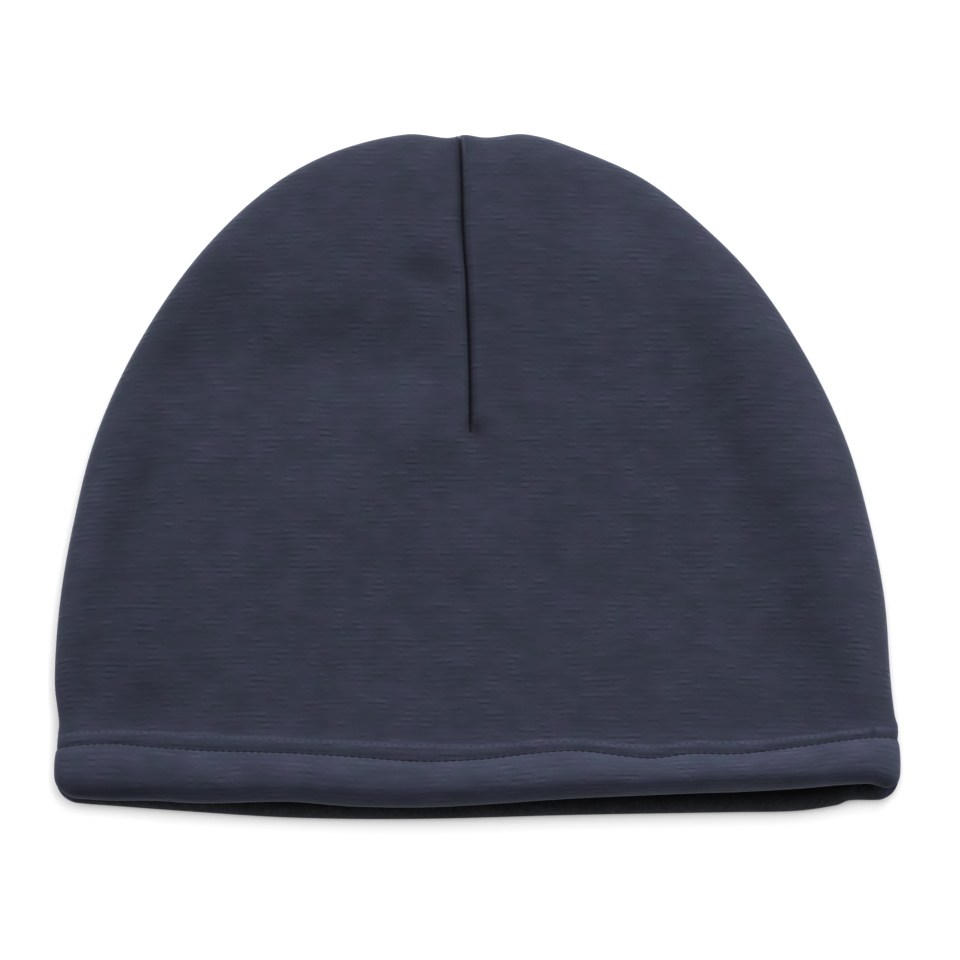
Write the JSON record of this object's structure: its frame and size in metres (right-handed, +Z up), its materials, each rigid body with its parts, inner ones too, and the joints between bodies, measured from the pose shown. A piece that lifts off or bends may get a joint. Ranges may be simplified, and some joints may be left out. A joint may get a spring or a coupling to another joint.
{
  "type": "fleece beanie",
  "caption": "Close-fitting knitted fleece hat with a domed crown drawn in by a centre dart and a plain turned and stitched hem, laid flat on its back.",
  "frame": {"origin": "on the surface it lies on, under the middle of the laid-out hat's bounding box", "axes": "+X to the right across the front, +Y from the mouth to the crown, +Z up out of the surface and out of the front"},
  "size_m": [0.2713, 0.2211, 0.0283],
  "materials": {
    "navy_fleece": "matte, finely ribbed knit outside and brushed inside",
    "hem_fleece": "matte, finely ribbed knit"
  },
  "bodies": {
    "root": {"front_panel": "navy_fleece", "back_panel": "navy_fleece", "turned_hem": "hem_fleece"}
  },
  "joints": []
}
